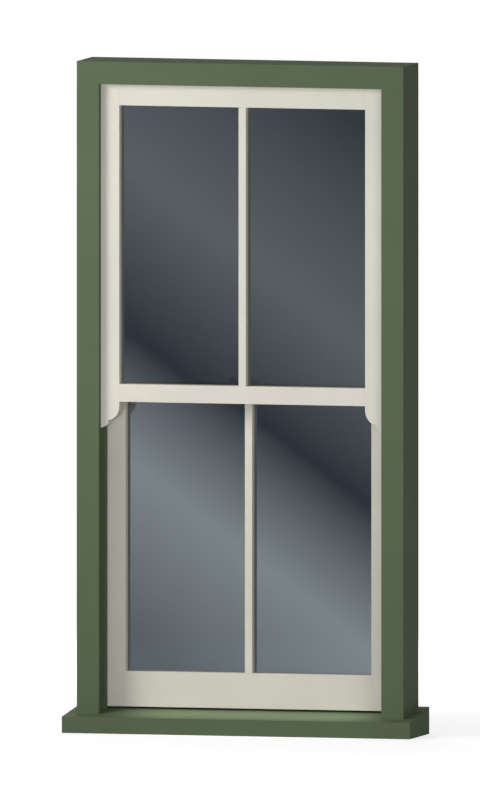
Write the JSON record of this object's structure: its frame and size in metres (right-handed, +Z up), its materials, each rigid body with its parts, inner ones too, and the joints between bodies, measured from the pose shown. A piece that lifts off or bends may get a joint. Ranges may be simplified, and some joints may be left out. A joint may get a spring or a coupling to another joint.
{
  "type": "sash window",
  "caption": "Vertical sliding sash window in its timber frame: outer upper sash with moulded horns, inner lower sash, a central glazing bar in each, and a projecting weathered sill.",
  "frame": {"origin": "middle of the sill's underside, below the outer face of the frame", "axes": "+X to the right seen from outside, +Y from the outer face into the room, +Z up"},
  "size_m": [0.853, 0.197, 1.596],
  "materials": {
    "green_paint": "satin sage green paint",
    "cream_paint": "satin cream paint",
    "glass": "clear float glass",
    "satin_steel": "satin",
    "white_plastic": "plain white"
  },
  "bodies": {
    "frame": {"sill": "green_paint", "left_jamb": "green_paint", "right_jamb": "green_paint", "head": "green_paint", "left_parting_bead": "green_paint", "right_parting_bead": "green_paint", "head_parting_bead": "green_paint", "left_staff_bead": "green_paint", "right_staff_bead": "green_paint", "head_staff_bead": "green_paint", "sill_staff_bead": "green_paint", "upper_left_balance_tube": "white_plastic", "upper_right_balance_tube": "white_plastic", "lower_left_balance_tube": "white_plastic", "lower_right_balance_tube": "white_plastic", "upper_left_balance_spring": "satin_steel", "upper_right_balance_spring": "satin_steel", "lower_left_balance_spring": "satin_steel", "lower_right_balance_spring": "satin_steel", "balance_screws": "satin_steel"},
    "upper_sash": {"upper_left_stile": "cream_paint", "upper_right_stile": "cream_paint", "top_rail": "cream_paint", "upper_meeting_rail": "cream_paint", "upper_glazing_bar": "cream_paint", "upper_left_pane_beads": "cream_paint", "upper_right_pane_beads": "cream_paint", "upper_left_pane": "glass", "upper_right_pane": "glass", "upper_left_spiral_rod": "satin_steel", "upper_right_spiral_rod": "satin_steel", "upper_left_rod_foot": "white_plastic", "upper_right_rod_foot": "white_plastic", "fastener_keep": "satin_steel", "upper_sash_screws": "satin_steel"},
    "lower_sash": {"lower_left_stile": "cream_paint", "lower_right_stile": "cream_paint", "bottom_rail": "cream_paint", "lower_meeting_rail": "cream_paint", "lower_glazing_bar": "cream_paint", "lower_left_pane_beads": "cream_paint", "lower_right_pane_beads": "cream_paint", "lower_left_pane": "glass", "lower_right_pane": "glass", "lower_left_spiral_rod": "satin_steel", "lower_right_spiral_rod": "satin_steel", "lower_left_rod_foot": "white_plastic", "lower_right_rod_foot": "white_plastic", "fastener_base": "satin_steel", "left_sash_lift": "satin_steel", "right_sash_lift": "satin_steel", "lower_sash_screws": "satin_steel"},
    "fastener": {"fastener_lever": "satin_steel"},
    "upper_left_spiral_nut": {"upper_left_spiral_nut": "white_plastic"},
    "upper_right_spiral_nut": {"upper_right_spiral_nut": "white_plastic"},
    "lower_left_spiral_nut": {"lower_left_spiral_nut": "white_plastic"},
    "lower_right_spiral_nut": {"lower_right_spiral_nut": "white_plastic"}
  },
  "joints": [
    {"name": "upper_sash_slide", "type": "slide", "parent": "frame", "child": "upper_sash", "axis": [0, 0, -1], "range_m": [0, 0.64]},
    {"name": "lower_sash_slide", "type": "slide", "parent": "frame", "child": "lower_sash", "axis": [0, 0, 1], "range_m": [0, 0.64]},
    {"name": "fastener_swing", "type": "hinge", "parent": "lower_sash", "child": "fastener", "pos_m": [0, 0.096, 0.8347], "axis": [0, 0, -1], "range_deg": [0, 90]},
    {"name": "upper_left_nut_turn", "type": "hinge", "parent": "frame", "child": "upper_left_spiral_nut", "pos_m": [-0.3527, 0.045, 0.7981], "axis": [0, 0, 1], "range_deg": [0, 2881]},
    {"name": "upper_right_nut_turn", "type": "hinge", "parent": "frame", "child": "upper_right_spiral_nut", "pos_m": [0.3527, 0.045, 0.7981], "axis": [0, 0, 1], "range_deg": [0, 2881]},
    {"name": "lower_left_nut_turn", "type": "hinge", "parent": "frame", "child": "lower_left_spiral_nut", "pos_m": [-0.3527, 0.105, 0.7981], "axis": [0, 0, 1], "range_deg": [-2881, 0]},
    {"name": "lower_right_nut_turn", "type": "hinge", "parent": "frame", "child": "lower_right_spiral_nut", "pos_m": [0.3527, 0.105, 0.7981], "axis": [0, 0, 1], "range_deg": [-2881, 0]}
  ],
  "couplings": [
    {"joint": "upper_left_nut_turn", "follows": "upper_sash_slide", "rad_per_m": 78.54},
    {"joint": "upper_right_nut_turn", "follows": "upper_sash_slide", "rad_per_m": 78.54},
    {"joint": "lower_left_nut_turn", "follows": "lower_sash_slide", "rad_per_m": -78.54},
    {"joint": "lower_right_nut_turn", "follows": "lower_sash_slide", "rad_per_m": -78.54}
  ]
}
